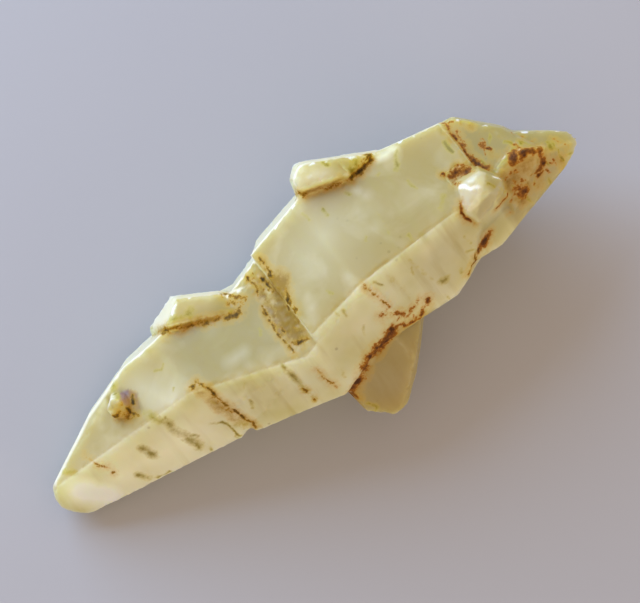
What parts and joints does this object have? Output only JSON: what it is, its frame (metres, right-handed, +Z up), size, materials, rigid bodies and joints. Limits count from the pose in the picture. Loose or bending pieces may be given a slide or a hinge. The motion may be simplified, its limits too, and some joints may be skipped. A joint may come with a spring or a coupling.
{
  "type": "sapphire crystal",
  "caption": "Pale yellow sapphire crystal, a steep hexagonal dipyramid with smaller crystals grown on it and rust-stained growth steps, lying on a flat face",
  "frame": {"origin": "centre of the bounding box's bottom face, on the plane of the flat contact face that the crystal lies on", "axes": "+X along the crystal towards its sharp tip, +Y across it towards the side with the plate and the block, +Z up from the contact face"},
  "size_m": [0.03, 0.0124, 0.0079],
  "materials": {
    "pale_yellow_corundum": "natural satin crystal faces, milky and see-through, with rust-brown stain along growth steps and contacts"
  },
  "bodies": {
    "root": {"sapphire_crystal": "pale_yellow_corundum"}
  },
  "joints": []
}
